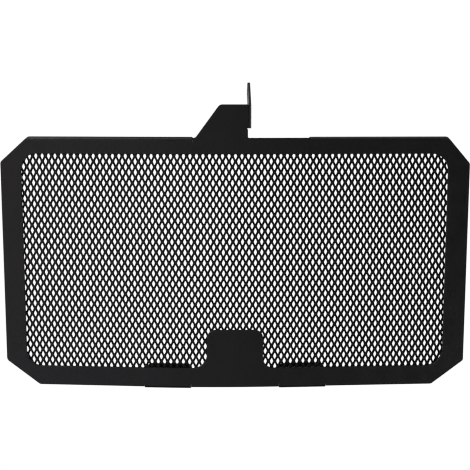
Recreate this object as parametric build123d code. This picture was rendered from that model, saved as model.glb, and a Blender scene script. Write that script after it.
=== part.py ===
"""Motorcycle radiator guard: a folded sheet frame with an expanded-metal panel behind its window.

Directions: +X to the right as seen from the front, +Y towards the radiator (back), +Z up.
The sheet is gently bowed about an upright axis: two flat wings joined by a wide arc.
Positions on the sheet are given as s (distance along the bowed front face from the middle of the outline),
n (depth behind the front face) and z (height). The origin is the centre of the ear's bolt hole.
"""
import math
import os

from build123d import *

# ---------------------------------------------------------------- driving dimensions (mm)
SHEET = 2.0            # thickness of the frame sheet
R_IN = 1.0             # inner radius of every fold
R_OUT = R_IN + SHEET   # outer radius of every fold
EDGE_R = 0.45          # softened cut edges under the coating

WIDTH = 350.3          # across the upright sides, along the sheet
Z_TOP = 85.2           # plain top edge
Z_FLANGE = 85.7        # upper face of the top flanges
Z_BOTTOM = -103.2      # plain bottom edge

BOW_ANGLE = math.radians(3.93)   # slope of each wing
BOW_HALF = 47.0                  # half length of the arc between the wings
BOW_AT = -19.1                   # s of the middle of the arc

WINDOW_SIDES = (-159.5, 158.7)   # left and right side of the window
WINDOW_TOP = 73.2
WINDOW_BOTTOM = -88.5
WINDOW_R_TOP = (11.5, 12.4)      # window corners, left and right
WINDOW_R_BOTTOM = (11.5, 13.0)

TONGUE = (-21.5, 21.1) # solid tongue at the bottom of the window, its left and right side
TONGUE_TOP = -58.8
TONGUE_R = 6.6
TONGUE_FILLET = (11.0, 8.0)      # where the tongue leaves the bottom bar, left and right

FLANGE_DEPTH = 8.0     # top flanges, from the front face to the free edge
FLANGE_CORNER = 3.0
FLANGE_L_END = -31.4   # inner ends of the two flanges; their outer ends follow the corner cuts
FLANGE_R_END = 54.6
CORNER_L = (67.0, 0.8915)    # upper corner cuts: height at the side and slope
CORNER_R = (65.9, 1.1453)
CORNER_LOW_L = (149.9, -84.3)  # lower corner cuts: where they leave the bottom edge and the sides
CORNER_LOW_R = (150.7, -84.9)

BRACKET_TOP = 109.5
BRACKET_STEP = 92.1    # lower end of the ear's fold
BRACKET_SLOPE = (-11.5, -29.45)   # s of the sloping left side, at the top and at the plain top edge
BRACKET_EDGE = 9.3     # right edge of the bracket below the fold
EAR_S = 8.85           # where the ear's fold begins
EAR_HOLE = (24.0, 118.3)   # n, z of the bolt hole
EAR_R = 7.2            # rounded end of the ear
EAR_ROOT_R = 3.0       # rounding where the ear leaves its fold
EAR_HOLE_R = 3.3       # clearance for a 6 mm bolt

HOOK = (33.5, 69.1)    # s range of each hook, mirrored left and right
HOOK_FLOOR = -104.6    # lower face of the hook floors
HOOK_GAP_END = 20.0    # n of the lip's inner face
HOOK_LIP_TOP = -90.7
HOOK_CORNER = 4.0
SLIT = 0.1             # relief slits beside the folds, nearly closed by the coating
EAR_SLIT = (0.1, 0.6)  # relief notch below the ear's fold, depth past the fold line and height

MESH_GAP = 0.1         # coating film between the frame and the panel
MESH_T = 1.0
MESH_HALF_PITCH = 2.4      # half the short way of a diamond
MESH_HALF_RISE = 3.987     # half the long way of a diamond
MESH_HOLE = (2.62, 5.5)    # clear opening, across and up
MESH_S0 = 0.72             # s of the diamond at the lattice origin (z = 0)
MESH_LEAN = 0.0307         # sideways drift of the lattice per half rise
MESH_TURN = math.radians(-0.146)   # slope of the rows of diamonds
MESH_CREASES = (-28, -21, -15, -8, -2, 5, 11)   # columns of diamonds where the panel turns to follow the arc
MESH_OUTLINE = [(-164.6, -81.0), (-146.5, -94.4), (146.5, -94.4), (164.6, -81.0),
                (164.6, 65.5), (152.5, 79.4), (-148.5, 79.4), (-164.6, 65.0)]

os.makedirs("parts", exist_ok=True)
BOW_R = BOW_HALF / BOW_ANGLE


# ---------------------------------------------------------------- the bowed sheet
def plan(s, n):
    """Plan point (x, y) at s along the sheet and n behind its front face."""
    q = s - BOW_AT
    turn = max(-BOW_ANGLE, min(BOW_ANGLE, q / BOW_R))
    past = max(abs(q) - BOW_HALF, 0.0)
    x = (BOW_R - n) * math.sin(turn) + math.copysign(past, q) * math.cos(BOW_ANGLE)
    y = BOW_R - (BOW_R - n) * math.cos(turn) + past * math.sin(BOW_ANGLE)
    return x, y


X_MID = plan(0.0, 0.0)[0]


def heading(s):
    return max(-BOW_ANGLE, min(BOW_ANGLE, (s - BOW_AT) / BOW_R))


def at(s, n, z):
    x, y = plan(s, n)
    return Vector(x - X_MID, y, z)


def local(s):
    """Plane at s whose x runs backwards through the sheet and whose y runs up; its normal runs along the sheet."""
    t = heading(s)
    return Plane(origin=at(s, 0, 0), x_dir=(-math.sin(t), math.cos(t), 0), z_dir=(math.cos(t), math.sin(t), 0))


def rounded(corners):
    """Closed run of lines and arcs through (a, b, radius) corners, as a list of point tuples."""
    runs = []
    count = len(corners)
    for k in range(count):
        (ax, ay, _), (bx, by, r), (cx, cy, _) = corners[k - 1], corners[k], corners[(k + 1) % count]
        ux, uy = ax - bx, ay - by
        vx, vy = cx - bx, cy - by
        lu, lv = math.hypot(ux, uy), math.hypot(vx, vy)
        ux, uy, vx, vy = ux / lu, uy / lu, vx / lv, vy / lv
        if r <= 0:
            runs.append([(bx, by)])
            continue
        half = math.acos(max(-1.0, min(1.0, ux * vx + uy * vy))) / 2
        d = r / math.tan(half)
        mx, my = ux + vx, uy + vy
        lm = math.hypot(mx, my)
        reach = r / math.sin(half)
        ox, oy = bx + mx / lm * reach, by + my / lm * reach
        runs.append([(bx + ux * d, by + uy * d), (ox - mx / lm * r, oy - my / lm * r), (bx + vx * d, by + vy * d)])
    return runs


def wire_of(corners, place):
    """Wire through rounded corners, each point put in space by place(a, b)."""
    runs = rounded(corners)
    edges = []
    for k, run in enumerate(runs):
        if len(run) == 3:
            edges.append(Edge.make_three_point_arc(*[place(*p) for p in run]))
        a, b = run[-1], runs[(k + 1) % len(runs)][0]
        if math.dist(a, b) > 1e-6:
            edges.append(Edge.make_line(place(*a), place(*b)))
    return Wire(edges)


def through(corners):
    """Solid cut straight through the bow (along Y) from an outline in s and z."""
    face = Face(wire_of([(plan(s, SHEET / 2)[0] - X_MID, z, r) for s, z, r in corners], lambda a, b: Vector(a, -20, b)))
    return Solid.extrude(face, Vector(0, 80, 0))


def slab(n0, n1, z0, z1, s0=-190.0, s1=190.0):
    """Bowed slab between two depths."""
    a, b = BOW_AT - BOW_HALF, BOW_AT + BOW_HALF
    edges = [
        Edge.make_line(at(s0, n0, z0), at(a, n0, z0)),
        Edge.make_three_point_arc(at(a, n0, z0), at(BOW_AT, n0, z0), at(b, n0, z0)),
        Edge.make_line(at(b, n0, z0), at(s1, n0, z0)),
        Edge.make_line(at(s1, n0, z0), at(s1, n1, z0)),
        Edge.make_line(at(s1, n1, z0), at(b, n1, z0)),
        Edge.make_three_point_arc(at(b, n1, z0), at(BOW_AT, n1, z0), at(a, n1, z0)),
        Edge.make_line(at(a, n1, z0), at(s0, n1, z0)),
        Edge.make_line(at(s0, n1, z0), at(s0, n0, z0)),
    ]
    return Solid.extrude(Face(Wire(edges)), Vector(0, 0, z1 - z0))


def run_along(corners, s0, s1):
    """Section in (n, z) carried along the sheet from s0 to s1: straight on a wing, turned about the arc's centre."""
    a, b = BOW_AT - BOW_HALF, BOW_AT + BOW_HALF
    stops = [s0] + [q for q in (a, b) if s0 < q < s1] + [s1]
    pieces = []
    for p, q in zip(stops, stops[1:]):
        plane = local(p)
        face = Face(wire_of(corners, lambda u, v: plane.from_local_coords(Vector(u, v, 0))))
        if a - 1e-6 <= p and q <= b + 1e-6:
            centre = Axis((-X_MID, BOW_R, 0), (0, 0, 1))
            pieces.append(Solid.revolve(face, math.degrees((q - p) / BOW_R), centre))
        else:
            pieces.append(Solid.extrude(face, plane.z_dir * (q - p)))
    body = pieces[0]
    for extra in pieces[1:]:
        body = body.fuse(extra)
    return body


def place_of(p):
    """Place (s, n, z) on the sheet of a point in space."""
    x, y = p.X + X_MID, p.Y
    turn = math.atan2(x, BOW_R - y)
    if abs(turn) <= BOW_ANGLE:
        return BOW_AT + turn * BOW_R, BOW_R - math.hypot(x, BOW_R - y), p.Z
    sign = math.copysign(1.0, x)
    dx, dy = x - sign * BOW_R * math.sin(BOW_ANGLE), y - BOW_R * (1 - math.cos(BOW_ANGLE))
    past = sign * dx * math.cos(BOW_ANGLE) + dy * math.sin(BOW_ANGLE)
    depth = dy * math.cos(BOW_ANGLE) - sign * dx * math.sin(BOW_ANGLE)
    return BOW_AT + sign * (BOW_HALF + past), depth, p.Z


def near(body, s, n, z, length):
    """Edge of a given length whose middle lies at a place on the sheet."""
    return [e for e in body.edges()
            if abs(e.length - length) < 0.3 and math.dist(place_of(e @ 0.5), (s, n, z)) < 0.9]


# ---------------------------------------------------------------- frame plate
ZT = Z_FLANGE - R_OUT          # where the top flanges start to fold
ZB = HOOK_FLOOR + R_OUT        # where the hooks start to fold
HW = WIDTH / 2
h0, h1 = HOOK
d = 0.6                        # depth of the relief slits past the fold line

outline = [
    (-CORNER_LOW_L[0], Z_BOTTOM, 4.0),
    (-h1 - SLIT, Z_BOTTOM, 0), (-h1 - SLIT, ZB + d, 0), (-h1, ZB + d, 0), (-h1, ZB, 0),
    (-h0, ZB, 0), (-h0, ZB + d, 0), (-h0 + SLIT, ZB + d, 0), (-h0 + SLIT, Z_BOTTOM, 0),
    (h0 - SLIT, Z_BOTTOM, 0), (h0 - SLIT, ZB + d, 0), (h0, ZB + d, 0), (h0, ZB, 0),
    (h1, ZB, 0), (h1, ZB + d, 0), (h1 + SLIT, ZB + d, 0), (h1 + SLIT, Z_BOTTOM, 0),
    (CORNER_LOW_R[0], Z_BOTTOM, 4.0),
    (HW, CORNER_LOW_R[1], 2.2),
    (HW, CORNER_R[0], 3.0),
    (HW - (ZT - CORNER_R[0]) / CORNER_R[1], ZT, 0),
    (FLANGE_R_END, ZT, 0), (FLANGE_R_END, ZT - d, 0), (FLANGE_R_END - SLIT, ZT - d, 0), (FLANGE_R_END - SLIT, Z_TOP, 0),
    (BRACKET_EDGE, Z_TOP, 0.8),
    (BRACKET_EDGE, BRACKET_STEP - EAR_SLIT[1], 0), (BRACKET_EDGE + 1, BRACKET_STEP - EAR_SLIT[1], 0),
    (BRACKET_EDGE + 1, BRACKET_TOP, 0),
    (BRACKET_SLOPE[0], BRACKET_TOP, 4.0),
    (BRACKET_SLOPE[1], Z_TOP, 3.3),
    (FLANGE_L_END + SLIT, Z_TOP, 0), (FLANGE_L_END + SLIT, ZT - d, 0), (FLANGE_L_END, ZT - d, 0), (FLANGE_L_END, ZT, 0),
    (-HW + (ZT - CORNER_L[0]) / CORNER_L[1], ZT, 0),
    (-HW, CORNER_L[0], 3.0),
    (-HW, CORNER_LOW_L[1], 4.0),
]
(wl, wr), (tl, tr), tt = WINDOW_SIDES, TONGUE, TONGUE_TOP
window = [
    (wl, WINDOW_BOTTOM, WINDOW_R_BOTTOM[0]),
    (tl, WINDOW_BOTTOM, TONGUE_FILLET[0]), (tl, tt, TONGUE_R), (tr, tt, TONGUE_R), (tr, WINDOW_BOTTOM, TONGUE_FILLET[1]),
    (wr, WINDOW_BOTTOM, WINDOW_R_BOTTOM[1]),
    (wr, WINDOW_TOP, WINDOW_R_TOP[1]),
    (wl, WINDOW_TOP, WINDOW_R_TOP[0]),
]


def one(shape):
    """The single solid of a result."""
    return shape.solids()[0] if hasattr(shape, "solids") else shape[0]


def between(s0, s1):
    """Upright band of space between two places on the sheet, cut straight along Y."""
    return through([(s0, -150, 0), (s1, -150, 0), (s1, 150, 0), (s0, 150, 0)])


plate = one(slab(0, SHEET, -110, 115).intersect(through(outline)))
plate = plate.cut(through(window))

# top flanges: fold, then a short strip running back; the outer ends follow the corner cuts of the outline
flange_section = [
    (0, ZT, 0), (0, Z_FLANGE, R_OUT), (FLANGE_DEPTH, Z_FLANGE, 0), (FLANGE_DEPTH, Z_FLANGE - SHEET, 0),
    (SHEET, Z_FLANGE - SHEET, R_IN), (SHEET, ZT, 0),
]
corner_limit = through([
    (-HW, CORNER_L[0], 0), (-HW, -60, 0), (HW, -60, 0), (HW, CORNER_R[0], 0),
    (HW - (92 - CORNER_R[0]) / CORNER_R[1], 92, 0), (-HW + (92 - CORNER_L[0]) / CORNER_L[1], 92, 0),
])
flanges = []
for (s0, s1, inner) in ((-170.0, FLANGE_L_END, FLANGE_L_END), (FLANGE_R_END, 170.0, FLANGE_R_END)):
    f = one(run_along(flange_section, s0 - 2, s1 + 2).intersect(between(s0, s1)))
    f = one(f.intersect(corner_limit))
    f = f.fillet(FLANGE_CORNER, near(f, inner, FLANGE_DEPTH, Z_FLANGE - SHEET / 2, SHEET))
    flanges.append(one(f))

# hooks: fold back, floor, fold up, lip
hook_section = [
    (0, ZB, 0), (0, HOOK_FLOOR, R_OUT), (HOOK_GAP_END + SHEET, HOOK_FLOOR, R_OUT),
    (HOOK_GAP_END + SHEET, HOOK_LIP_TOP, 0), (HOOK_GAP_END, HOOK_LIP_TOP, 0),
    (HOOK_GAP_END, HOOK_FLOOR + SHEET, R_IN), (SHEET, HOOK_FLOOR + SHEET, R_IN), (SHEET, ZB, 0),
]
hooks = []
for (s0, s1) in ((-h1, -h0), (h0, h1)):
    k = one(run_along(hook_section, s0 - 2, s1 + 2).intersect(between(s0, s1)))
    ends = [e for e in k.edges() if abs(e.length - SHEET) < 0.1 and abs((e @ 0.5).Z - HOOK_LIP_TOP) < 0.01
            and abs(e.tangent_at(0.5).Y) > 0.9]
    k = k.fillet(HOOK_CORNER, ends)
    hooks.append(one(k))

# ear: fold at the bracket's right side, then a lug running back and up to a rounded end with the bolt hole
ear_plane = local(EAR_S)
tan_dir, back_dir = ear_plane.z_dir, ear_plane.x_dir


def ear_at(t, n, z):
    """Point t past the fold line along the sheet, n behind the front face."""
    return at(EAR_S, 0, z) + tan_dir * t + back_dir * n


q45 = math.sqrt(0.5)
fold_edges = [
    Edge.make_three_point_arc(ear_at(0, 0, BRACKET_STEP), ear_at(R_OUT * q45, R_OUT - R_OUT * q45, BRACKET_STEP),
                              ear_at(R_OUT, R_OUT, BRACKET_STEP)),
    Edge.make_line(ear_at(R_OUT, R_OUT, BRACKET_STEP), ear_at(R_IN, R_OUT, BRACKET_STEP)),
    Edge.make_three_point_arc(ear_at(R_IN, R_OUT, BRACKET_STEP), ear_at(R_IN * q45, R_OUT - R_IN * q45, BRACKET_STEP),
                              ear_at(0, SHEET, BRACKET_STEP)),
    Edge.make_line(ear_at(0, SHEET, BRACKET_STEP), ear_at(0, 0, BRACKET_STEP)),
]
fold = Solid.extrude(Face(Wire(fold_edges)), Vector(0, 0, BRACKET_TOP - BRACKET_STEP))


def touch(px, pz, side):
    """Point where a line from (px, pz) touches the ear's round end on one side."""
    dx, dz = EAR_HOLE[0] - px, EAR_HOLE[1] - pz
    dist = math.hypot(dx, dz)
    a = math.atan2(dz, dx) + side * math.asin(EAR_R / dist)
    reach = math.sqrt(dist * dist - EAR_R * EAR_R)
    return px + reach * math.cos(a), pz + reach * math.sin(a)


root_up, root_low = (R_OUT + 1.6, BRACKET_TOP), (R_OUT + 1.5, BRACKET_STEP)
upper, lower = touch(*root_up, 1), touch(*root_low, -1)
tip = (EAR_HOLE[0] + EAR_R, EAR_HOLE[1])


def ear_pt(p):
    return ear_at(R_IN, p[0], p[1])


bend_up = rounded([(R_OUT, BRACKET_TOP, 0), (*root_up, EAR_ROOT_R), (*upper, 0)])[1]
bend_low = rounded([(*lower, 0), (*root_low, EAR_ROOT_R), (R_OUT, BRACKET_STEP, 0)])[1]
lug_wire = Wire([
    Edge.make_line(ear_pt((R_OUT, BRACKET_STEP)), ear_pt((R_OUT, BRACKET_TOP))),
    Edge.make_line(ear_pt((R_OUT, BRACKET_TOP)), ear_pt(bend_up[0])),
    Edge.make_three_point_arc(*[ear_pt(p) for p in bend_up]),
    Edge.make_line(ear_pt(bend_up[2]), ear_pt(upper)),
    Edge.make_three_point_arc(ear_pt(upper), ear_pt(tip), ear_pt(lower)),
    Edge.make_line(ear_pt(lower), ear_pt(bend_low[0])),
    Edge.make_three_point_arc(*[ear_pt(p) for p in bend_low]),
    Edge.make_line(ear_pt(bend_low[2]), ear_pt((R_OUT, BRACKET_STEP))),
])
lug = Solid.extrude(Face(lug_wire), tan_dir * SHEET)
hole_centre = ear_at(R_IN + SHEET / 2, *EAR_HOLE)
bolt = Solid.make_cylinder(EAR_HOLE_R, 20, Plane(origin=hole_centre - tan_dir * 10, z_dir=tan_dir))
lug = lug.cut(bolt)

for t0, height in ((0.0, 40.0), (-EAR_SLIT[0], EAR_SLIT[1])):
    past = [ear_at(t, n, BRACKET_STEP - EAR_SLIT[1]) for t, n in ((t0, -6), (12, -6), (12, 12), (t0, 12))]
    plate = plate.cut(Solid.extrude(Face(Wire.make_polygon(past, close=True)), Vector(0, 0, height)))

frame = one(plate)
for extra in flanges + hooks + [fold, lug]:
    frame = frame.fuse(extra)
frame = one(frame).clean()


# softened cut edges, one run of the sheet's edge at a time; the bolt hole and the short sides of the relief slits stay sharp
def sharp_edges(body):
    """Edges where two faces meet at a corner, each with the place of its middle on the sheet."""
    sides = {}
    for f in body.faces():
        for e in f.edges():
            sides.setdefault(e, []).append(f)
    found = []
    for e, pair in sides.items():
        m = e @ 0.5
        if len(pair) == 2 and pair[0].normal_at(m).dot(pair[1].normal_at(m)) < math.cos(math.radians(12)):
            found.append((e, *place_of(m)))
    return found


def on_face(n, face):
    return abs(n - face) < 0.02


def soften(body, wanted):
    picked = [e for e, s, n, z in sharp_edges(body) if wanted(e.length, s, n, z)]
    return one(body.fillet(EDGE_R, picked))


for face in (0.0, SHEET):
    frame = soften(frame, lambda length, s, n, z: on_face(n, face) and abs(s) < 160 and -89.5 < z < 74.5)
    frame = soften(frame, lambda length, s, n, z: on_face(n, face) and length > 1.2 and (z < -90 or abs(s) > 160))
    frame = soften(frame, lambda length, s, n, z: on_face(n, face) and length > 5 and 8 < s < 10 and 86 < z < 92)
for t_face in (1, -1):
    frame = soften(frame, lambda length, s, n, z: z > BRACKET_STEP - 0.01 and n > 3.1 and length > 10 and abs(length - 2 * math.pi * EAR_HOLE_R) > 0.1
                   and (s - EAR_S - 2) * t_face > 0)
for sign in (-1, 1):
    for outer in (True, False):
        frame = soften(frame, lambda length, s, n, z: h0 - 3 < sign * s < h1 + 4 and z < -90 and n > SHEET + 0.1 and length > 1.2
                       and outer == (n > HOOK_GAP_END + SHEET / 2 or z < HOOK_FLOOR + SHEET / 2))
    frame = soften(frame, lambda length, s, n, z: 30 < sign * s and n > 6 and abs(z - Z_FLANGE) < 0.02)
print("frame", "volume", round(frame.volume, 1), "faces", len(frame.faces()), "valid", frame.is_valid)

# ---------------------------------------------------------------- expanded-metal panel
# Flat strips that follow the bow; the creases run through columns of diamonds.
panel_depth = SHEET + MESH_GAP
crease_s = [MESH_OUTLINE[0][0]] + [MESH_S0 + MESH_HALF_PITCH * i for i in MESH_CREASES] + [MESH_OUTLINE[3][0]]
crease_x = [plan(v, panel_depth)[0] - X_MID for v in crease_s]
crease_y = [plan(v, panel_depth)[1] for v in crease_s]


def on_strips(v, keys, values):
    """Value at v on the straight runs between the creases."""
    k = 0
    while k < len(keys) - 2 and v > keys[k + 1]:
        k += 1
    return values[k] + (v - keys[k]) / (keys[k + 1] - keys[k]) * (values[k + 1] - values[k])


def left_of(a, b, p):
    """Distance of p to the left of the line from a to b."""
    return ((b[0] - a[0]) * (p[1] - a[1]) - (b[1] - a[1]) * (p[0] - a[0])) / math.dist(a, b)


def part_left(poly, a, b):
    """Part of a convex polygon left of a line, as (point, made by the cut) pairs."""
    kept = []
    for p, q in zip(poly, poly[1:] + poly[:1]):
        fp, fq = left_of(a, b, p), left_of(a, b, q)
        if fp > 0:
            kept.append((p, False))
        if (fp > 0) != (fq > 0):
            f = fp / (fp - fq)
            kept.append(((p[0] + f * (q[0] - p[0]), p[1] + f * (q[1] - p[1])), True))
    return kept


panel_outline = [(on_strips(v, crease_s, crease_x), z) for v, z in MESH_OUTLINE]
strips = []
for xa, xb in zip(crease_x, crease_x[1:]):
    poly = [p for p, _ in part_left(panel_outline, (xa, 200), (xa, -200))]
    poly = [p for p, _ in part_left(poly, (xb, -200), (xb, 200))]
    poly = [p for k, p in enumerate(poly) if math.dist(p, poly[k - 1]) > 1e-6]
    strips.append(list(zip(poly, poly[1:] + poly[:1])))


def cuts(hole, edges):
    """Edges of a strip that cut a diamond, or None when the diamond lies outside; slivers count twice."""
    far = [[left_of(a, b, p) for p in hole] for a, b in edges]
    if any(max(f) <= 0 for f in far):
        return None
    cut = [k for k, f in enumerate(far) if min(f) <= 0]
    return cut + [k for k in cut if min(abs(v) for v in far[k]) < 0.15]


across, rise = MESH_HOLE[0] / 2, MESH_HOLE[1] / 2
strip_corners = [a for edges in strips for a, _ in edges]
diamonds = []
for j in range(-22, 27):
    for i in range(-72, 73):
        v = MESH_S0 + MESH_HALF_PITCH * i + MESH_LEAN * j
        if (i + j) % 2 or abs(v) > 167:
            continue
        x, z = on_strips(v, crease_s, crease_x), -MESH_HALF_RISE * j - MESH_HALF_PITCH * i * math.sin(MESH_TURN)
        if any(abs(a - x) / (across + 0.4) + abs(b - z) / (rise + 0.8) < 1 for a, b in strip_corners):
            continue
        hole = [(x + across, z), (x, z + rise), (x - across, z), (x, z - rise)]
        found = [c for c in (cuts(hole, edges) for edges in strips) if c is not None]
        if found and max(len(c) for c in found) < 2:
            diamonds.append(hole)


def in_space(p):
    return p[0], on_strips(p[0], crease_x, crease_y), p[1]


panel_faces = []
for edges in strips:
    whole, notches = [], [[] for _ in edges]
    for hole in diamonds:
        cut = cuts(hole, edges)
        if cut is None:
            continue
        if not cut:
            whole.append(hole)
            continue
        a, b = edges[cut[0]]
        rest = part_left(hole, a, b)
        along = [math.dist(p, a) if new else -1.0 for p, new in rest]
        first = along.index(max(along))
        run = [p for p, _ in rest[first:] + rest[:first]]
        notches[cut[0]].append((max(along), run[::-1]))
    ring = []
    for (a, _), runs in zip(edges, notches):
        ring.append(a)
        for _, run in sorted(runs):
            ring += run
    sheet = Face(Wire.make_polygon([in_space(p) for p in ring], close=True),
                 [Wire.make_polygon([in_space(p) for p in hole], close=True) for hole in whole])
    for f in Solid.extrude(sheet, Vector(0, MESH_T, 0)).faces():
        corners = f.vertices()
        if len(corners) > 4 or not any(all(abs(v.X - x) < 1e-5 for v in corners) for x in crease_x[1:-1]):
            panel_faces.append(f)
panel = Solid(Shell(panel_faces))
print("panel", "volume", round(panel.volume, 1), "faces", len(panel_faces), "diamonds", len(diamonds))

# ---------------------------------------------------------------- origin at the bolt hole, then export
origin_shift = Location((-hole_centre.X, -hole_centre.Y, -hole_centre.Z))
export_step(frame.moved(origin_shift), "parts/frame_plate.step")
export_step(panel.moved(origin_shift), "parts/mesh_panel.step", write_pcurves=False)
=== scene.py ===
import math

import bmesh
import bpy
from mathutils import Matrix, Vector


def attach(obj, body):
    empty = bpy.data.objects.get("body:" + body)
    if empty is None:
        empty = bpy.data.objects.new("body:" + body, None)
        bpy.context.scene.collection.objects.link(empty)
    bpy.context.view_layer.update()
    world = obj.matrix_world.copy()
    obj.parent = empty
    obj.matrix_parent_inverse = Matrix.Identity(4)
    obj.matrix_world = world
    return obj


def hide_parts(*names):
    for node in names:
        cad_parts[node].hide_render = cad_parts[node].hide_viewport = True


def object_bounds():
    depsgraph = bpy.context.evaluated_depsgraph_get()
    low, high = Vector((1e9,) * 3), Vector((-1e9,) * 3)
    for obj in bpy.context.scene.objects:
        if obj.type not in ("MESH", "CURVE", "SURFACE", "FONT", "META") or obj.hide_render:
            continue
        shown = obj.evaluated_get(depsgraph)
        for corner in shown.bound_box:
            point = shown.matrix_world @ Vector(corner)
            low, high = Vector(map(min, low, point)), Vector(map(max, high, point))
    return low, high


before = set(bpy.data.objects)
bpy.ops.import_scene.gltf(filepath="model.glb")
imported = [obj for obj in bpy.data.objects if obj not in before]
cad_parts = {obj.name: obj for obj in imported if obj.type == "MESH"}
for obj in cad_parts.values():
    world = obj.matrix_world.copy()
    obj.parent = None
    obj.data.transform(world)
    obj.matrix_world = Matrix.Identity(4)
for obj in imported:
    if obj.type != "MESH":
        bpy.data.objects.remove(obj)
cad_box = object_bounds()

# ------------------------------------------------------------------ the bowed sheet (mm), as in the CAD frame
BOW_ANGLE = math.radians(3.93)
BOW_HALF = 47.0
BOW_AT = -19.1
BOW_R = BOW_HALF / BOW_ANGLE
ORIGIN = (9.86437, 24.6316, 118.3)      # bolt hole seen from the middle of the outline


def plan(s, n):
    q = s - BOW_AT
    turn = max(-BOW_ANGLE, min(BOW_ANGLE, q / BOW_R))
    past = max(abs(q) - BOW_HALF, 0.0)
    x = (BOW_R - n) * math.sin(turn) + math.copysign(past, q) * math.cos(BOW_ANGLE)
    y = BOW_R - (BOW_R - n) * math.cos(turn) + past * math.sin(BOW_ANGLE)
    return x, y


X_MID = plan(0.0, 0.0)[0]


def put(s, n, z):
    """Point on the bowed sheet in the shared frame, in metres."""
    x, y = plan(s, n)
    return Vector((x - X_MID - ORIGIN[0], y - ORIGIN[1], z - ORIGIN[2])) * 0.001


# ------------------------------------------------------------------ materials
KNUCKLE = (-0.15, -0.8)          # where a strand passes into a knuckle, on the cell wave that is -1 at its middle
# painted shade on the strands: the scale on their base colour and their specular level, against the knuckles
STRAND_PAINTED_SHADE, STRAND_PAINTED_SHADE_SPECULAR = 0.36, 0.12


def coat(name, dark, light, rough, grain, peel, cells=None):
    """Satin black powder coat: orange peel, fine grain, slight change of tone and gloss.
    With cells, the strands of the expanded metal get painted shade, darker and duller than its flat knuckles: a
    lower base colour and specular level stand in for the shade of strands turned from the light."""
    m = bpy.data.materials.new(name)
    m.use_nodes = True
    nt = m.node_tree
    bsdf = nt.nodes["Principled BSDF"]
    bsdf.inputs["IOR"].default_value = 1.5
    bsdf.inputs["Specular IOR Level"].default_value = 0.5
    place = nt.nodes.new("ShaderNodeTexCoord")

    def noise(scale, detail, roughness=0.55):
        n = nt.nodes.new("ShaderNodeTexNoise")
        n.inputs["Scale"].default_value = scale
        n.inputs["Detail"].default_value = detail
        n.inputs["Roughness"].default_value = roughness
        nt.links.new(place.outputs["Object"], n.inputs["Vector"])
        return n

    def ramp(source, low, high, a, b):
        r = nt.nodes.new("ShaderNodeMapRange")
        r.inputs["From Min"].default_value = low
        r.inputs["From Max"].default_value = high
        r.inputs["To Min"].default_value = a
        r.inputs["To Max"].default_value = b
        nt.links.new(source, r.inputs["Value"])
        return r.outputs["Result"]

    tone = noise(38.0, 4.0)
    speck = noise(2600.0, 2.0)
    both = nt.nodes.new("ShaderNodeMath")
    both.operation = "MULTIPLY_ADD"
    both.inputs[1].default_value = 0.45
    nt.links.new(speck.outputs["Fac"], both.inputs[0])
    nt.links.new(ramp(tone.outputs["Fac"], 0.3, 0.7, 0.0, 0.55), both.inputs[2])
    colours = nt.nodes.new("ShaderNodeValToRGB")
    colours.color_ramp.elements[0].position = 0.15
    colours.color_ramp.elements[0].color = (*dark, 1)
    colours.color_ramp.elements[1].position = 0.85
    colours.color_ramp.elements[1].color = (*light, 1)
    nt.links.new(both.outputs[0], colours.inputs["Fac"])
    colour = colours.outputs["Color"]
    if cells:
        cell = nt.nodes.new("ShaderNodeAttribute")
        cell.attribute_name = cells
        split = nt.nodes.new("ShaderNodeSeparateXYZ")
        nt.links.new(cell.outputs["Vector"], split.inputs["Vector"])
        waves = []
        for axis in ("X", "Y"):
            angle = nt.nodes.new("ShaderNodeMath")
            angle.operation = "MULTIPLY"
            angle.inputs[1].default_value = math.pi
            nt.links.new(split.outputs[axis], angle.inputs[0])
            wave = nt.nodes.new("ShaderNodeMath")
            wave.operation = "COSINE"
            nt.links.new(angle.outputs[0], wave.inputs[0])
            waves.append(wave)
        both_ways = nt.nodes.new("ShaderNodeMath")
        both_ways.operation = "MULTIPLY"
        nt.links.new(waves[0].outputs[0], both_ways.inputs[0])
        nt.links.new(waves[1].outputs[0], both_ways.inputs[1])
        # painted shade: away from the knuckles the strands get a darker base colour and a lower specular level
        knuckle = ramp(both_ways.outputs[0], KNUCKLE[0], KNUCKLE[1], 0.0, 1.0)
        shade = nt.nodes.new("ShaderNodeVectorMath")
        shade.operation = "SCALE"
        nt.links.new(colour, shade.inputs["Vector"])
        nt.links.new(ramp(knuckle, 0.0, 1.0, STRAND_PAINTED_SHADE, 1.0), shade.inputs["Scale"])
        colour = shade.outputs["Vector"]
        nt.links.new(ramp(knuckle, 0.0, 1.0, STRAND_PAINTED_SHADE_SPECULAR, 0.5), bsdf.inputs["Specular IOR Level"])
    nt.links.new(colour, bsdf.inputs["Base Color"])

    gloss = noise(90.0, 3.0)
    nt.links.new(ramp(gloss.outputs["Fac"], 0.3, 0.7, rough - 0.05, rough + 0.06), bsdf.inputs["Roughness"])

    skin = noise(720.0, 1.5)
    fine = noise(3600.0, 2.0)
    b1 = nt.nodes.new("ShaderNodeBump")
    b1.inputs["Strength"].default_value = 1.0
    b1.inputs["Distance"].default_value = peel
    nt.links.new(skin.outputs["Fac"], b1.inputs["Height"])
    b2 = nt.nodes.new("ShaderNodeBump")
    b2.inputs["Strength"].default_value = 1.0
    b2.inputs["Distance"].default_value = grain
    nt.links.new(fine.outputs["Fac"], b2.inputs["Height"])
    nt.links.new(b1.outputs["Normal"], b2.inputs["Normal"])
    nt.links.new(b2.outputs["Normal"], bsdf.inputs["Normal"])
    return m


frame_coat = coat("frame_powder_coat", (0.010, 0.0097, 0.0100), (0.016, 0.0155, 0.0158), 0.40, 0.000010, 0.00007)
# the mesh coat carries painted shade on its strands
mesh_coat_with_painted_shade = coat("mesh_powder_coat_painted_shade", (0.0100, 0.0098, 0.0099), (0.0165, 0.0160, 0.0163), 0.40, 0.000010, 0.00006, "cell")

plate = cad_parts["frame_plate"]
plate.data.materials.clear()
plate.data.materials.append(frame_coat)

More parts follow.
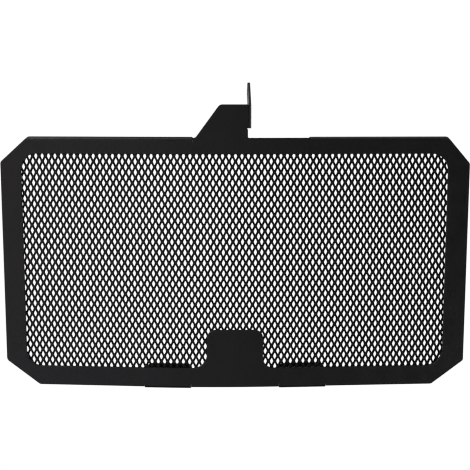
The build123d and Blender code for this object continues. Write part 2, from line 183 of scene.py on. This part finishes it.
# ------------------------------------------------------------------ expanded-metal panel
PITCH, RISE = 2.4, 3.987
S0, LEAN, TURN = 0.72, 0.0307, math.radians(-0.146)
N_FRONT, N_BACK = 2.10, 3.10
HALF_W, HALF_H = 1.075, 2.25    # opening, half across and half up
FLAT_W, FLAT_H = 0.24, 0.36      # half lengths of the flats at its tips and sides
CHAMFER, CHAMFER_DEPTH = 0.10, 0.14
LOUVRE = math.tan(math.radians(4.0))   # the strands lean, so the mesh looks more open from one side
OUTLINE = [(-164.6, -81.0), (-146.5, -94.4), (146.5, -94.4), (164.6, -81.0),
           (164.6, 65.5), (152.5, 79.4), (-148.5, 79.4), (-164.6, 65.0)]


def lattice(i, j):
    return S0 + PITCH * i + LEAN * j, -RISE * j - PITCH * i * math.sin(TURN)


def opening(grow):
    w, h = HALF_W + grow, HALF_H + grow * 1.3
    a, b = FLAT_H + grow * 0.3, FLAT_W + grow * 0.35
    return [(w, -a), (w, a), (b, h), (-b, h), (-w, a), (-w, -a), (-b, -h), (b, -h)]


def panel_mesh():
    bm = bmesh.new()
    cell = bm.verts.layers.float_vector.new("cell")
    corner = {}

    def vert(s, n, z, u, v):
        made = bm.verts.new(put(s, n, z))
        made[cell] = Vector((u, v, 0.0))
        return made

    def corner_vert(i, j, depth):
        key = (i, j, depth)
        if key not in corner:
            s, z = lattice(i, j)
            corner[key] = vert(s, depth, z, i, j)
        return corner[key]

    rings = [(N_FRONT, opening(CHAMFER)), (N_FRONT + CHAMFER_DEPTH, opening(0.0)), (N_BACK, opening(0.03))]
    mid = (N_FRONT + N_BACK) / 2
    for j in range(-22, 27):
        for i in range(-71, 72):
            if (i + j) % 2:
                continue
            s, z = lattice(i, j)
            if abs(s) > 169 or not -100 < z < 85:
                continue
            loops = [[vert(s + a - LOUVRE * (n - mid), n, z + b, i + a / PITCH, j - b / RISE) for a, b in ring] for n, ring in rings]
            for outer, inner in zip(loops, loops[1:]):
                for k in range(8):
                    bm.faces.new((outer[k], outer[(k + 1) % 8], inner[(k + 1) % 8], inner[k]))
            for depth, loop, front in ((N_FRONT, loops[0], True), (N_BACK, loops[-1], False)):
                right, up, left, down = (corner_vert(i + 1, j, depth), corner_vert(i, j - 1, depth),
                                         corner_vert(i - 1, j, depth), corner_vert(i, j + 1, depth))
                faces = [(right, loop[1], loop[0]), (up, loop[3], loop[2]), (left, loop[5], loop[4]), (down, loop[7], loop[6]),
                         (right, up, loop[2], loop[1]), (up, left, loop[4], loop[3]), (left, down, loop[6], loop[5]), (down, right, loop[0], loop[7])]
                for f in faces:
                    bm.faces.new(f if front else f[::-1])
    # rim outside the panel, closed so that each cut leaves whole loops to fill
    front = {v: key[:2] for key, v in corner.items() if key[2] == N_FRONT}
    for e in [e for e in bm.edges if e.is_boundary and all(v in front for v in e.verts)]:
        p, q = e.verts
        bm.faces.new((p, q, corner[(*front[q], N_BACK)], corner[(*front[p], N_BACK)]))
    # straight cut edges of the panel
    ring = [Vector((plan(s, 2.6)[0] - X_MID - ORIGIN[0], 0, z - ORIGIN[2])) * 0.001 for s, z in OUTLINE]
    for p, q in zip(ring, ring[1:] + ring[:1]):
        d = (q - p).normalized()
        outward = Vector((d.z, 0, -d.x))
        cut = bmesh.ops.bisect_plane(bm, geom=bm.verts[:] + bm.edges[:] + bm.faces[:], dist=1e-7, plane_co=p, plane_no=outward, clear_outer=True)
        edges = [e for e in cut["geom_cut"] if isinstance(e, bmesh.types.BMEdge) and e.is_boundary]
        bmesh.ops.holes_fill(bm, edges=edges, sides=0)
    bmesh.ops.triangulate(bm, faces=[f for f in bm.faces if len(f.verts) > 4])
    bmesh.ops.recalc_face_normals(bm, faces=bm.faces[:])
    me = bpy.data.meshes.new("expanded_metal_panel")
    bm.to_mesh(me)
    bm.free()
    for poly in me.polygons:
        poly.use_smooth = True
    me.set_sharp_from_angle(angle=math.radians(52))
    return me


panel = bpy.data.objects.new("expanded_metal_panel", panel_mesh())
bpy.context.scene.collection.objects.link(panel)
panel.data.materials.append(mesh_coat_with_painted_shade)
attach(panel, "root")
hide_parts("mesh_panel")

# ------------------------------------------------------------------ studio: pale floor rising into a closed pale surround
low_z = cad_box[0][2]
FLOOR = low_z - 1.30


def surround():
    profile = [(0.0, FLOOR), (2.2, FLOOR)]
    for k in range(1, 13):
        a = math.radians(90 * k / 12)
        profile.append((2.2 + 0.9 * math.sin(a), FLOOR + 0.9 * (1 - math.cos(a))))
    profile.append((3.1, 2.0))
    for k in range(1, 13):
        a = math.radians(90 * k / 12)
        profile.append((3.1 * math.cos(a), 2.0 + 3.1 * math.sin(a)))
    bm = bmesh.new()
    turns = 64
    rows = []
    for r, z in profile:
        if r < 1e-6:
            rows.append([bm.verts.new((0, 0, z))] * turns)
        else:
            rows.append([bm.verts.new((r * math.cos(2 * math.pi * k / turns), r * math.sin(2 * math.pi * k / turns), z)) for k in range(turns)])
    for a, b in zip(rows, rows[1:]):
        for k in range(turns):
            quad = [a[k], a[(k + 1) % turns], b[(k + 1) % turns], b[k]]
            seen = []
            for v in quad:
                if v not in seen:
                    seen.append(v)
            if len(seen) > 2:
                bm.faces.new(seen)
    me = bpy.data.meshes.new("studio_floor")
    bm.to_mesh(me)
    bm.free()
    for poly in me.polygons:
        poly.use_smooth = True
    return me


floor = bpy.data.objects.new("studio_floor", surround())
bpy.context.scene.collection.objects.link(floor)
white = bpy.data.materials.new("studio_white")
white.use_nodes = True
wb = white.node_tree.nodes["Principled BSDF"]
wb.inputs["Base Color"].default_value = (0.0, 0.0, 0.0, 1)
wb.inputs["Specular IOR Level"].default_value = 0.0
wb.inputs["Emission Color"].default_value = (1, 1, 1, 1)
wb.inputs["Emission Strength"].default_value = 1.02
floor.data.materials.append(white)
floor.visible_diffuse = False
floor.visible_glossy = False
floor.visible_transmission = False
floor.visible_shadow = False

world = bpy.data.worlds.new("studio")
bpy.context.scene.world = world
world.use_nodes = True
sky = world.node_tree.nodes["Background"]
sky.inputs["Color"].default_value = (1, 1, 1, 1)
sky.inputs["Strength"].default_value = 0.006


def softbox(name, at, size, power, colour=(1.0, 1.0, 1.0), to=(-0.01, 0.0, -0.13)):
    data = bpy.data.lights.new(name, "AREA")
    data.color = colour
    data.shape = "RECTANGLE"
    data.size, data.size_y = size
    data.energy = power
    o = bpy.data.objects.new(name, data)
    bpy.context.scene.collection.objects.link(o)
    o.location = at
    o.rotation_euler = (Vector(to) - Vector(at)).to_track_quat("-Z", "Y").to_euler()
    o.visible_camera = False
    return o


softbox("low_side_left", (-1.435, -0.823, -1.08), (1.2, 1.2), 5.2, (1.035, 0.955, 1.010))
softbox("low_front_left", (-0.954, -1.348, -1.08), (1.2, 1.2), 1.3, (1.021, 0.923, 1.056))
softbox("low_front", (-0.01, -1.645, -1.08), (1.2, 1.2), 1.16, (0.923, 0.962, 1.084))
softbox("low_right", (1.415, -0.823, -1.08), (1.2, 1.2), 6.4, (0.990, 1.007, 1.003))
softbox("front_left", (-1.083, -1.533, 0.2), (1.2, 1.2), 2.5, (1.035, 0.990, 0.976))
softbox("front", (-0.01, -1.871, 0.2), (1.2, 1.2), 1.16, (1.070, 0.962, 0.968))
softbox("top_strip", (-0.1, -0.05, 1.1), (1.4, 0.5), 1.35, (1.014, 1.021, 0.965))
softbox("top_left", (-1.1, -0.1, 1.0), (0.8, 0.8), 18.6, (1.007, 0.997, 0.997))
softbox("top_right", (1.1, -0.1, 1.0), (0.8, 0.8), 2.1, (1.003, 1.017, 0.979))
softbox("side_left", (-1.9, 0.25, 0.0), (1.2, 1.2), 8.0)
softbox("side_right", (1.9, 0.25, 0.0), (1.2, 1.2), 4.0)
softbox("back_left", (-1.1, 1.5, 0.1), (1.2, 1.2), 7.5)
softbox("back_right", (1.1, 1.5, 0.1), (1.2, 1.2), 9.0)
softbox("low_back", (0.2, 1.5, -1.1), (1.2, 1.2), 8.0)
softbox("back_top_right", (0.45, 1.4, 1.0), (0.8, 0.8), 2.2)

# ------------------------------------------------------------------ camera fitted to the photograph
e, a = math.radians(8.34), math.radians(0.22)
back = Vector((math.sin(a) * math.cos(e), -math.cos(a) * math.cos(e), math.sin(e)))
right = Vector((math.cos(a), math.sin(a), 0.0))
up = back.cross(right)
roll = math.radians(0.026)
right, up = math.cos(roll) * right + math.sin(roll) * up, -math.sin(roll) * right + math.cos(roll) * up
cam_data = bpy.data.cameras.new("camera")
cam_data.sensor_width = 36.0
cam_data.lens = 950.0 * 36.0 / 470.0
cam = bpy.data.objects.new("camera", cam_data)
bpy.context.scene.collection.objects.link(cam)
turn = Matrix((right, up, back)).transposed().to_4x4()
cam.matrix_world = Matrix.Translation((-0.00743, -0.72074, -0.00261)) @ turn
bpy.context.scene.camera = cam

bpy.context.scene.cycles.filter_width = 1.2
view = bpy.context.scene.view_settings
view.view_transform = "Standard"
view.look = "None"
view.exposure = 0.0
view.gamma = 1.0
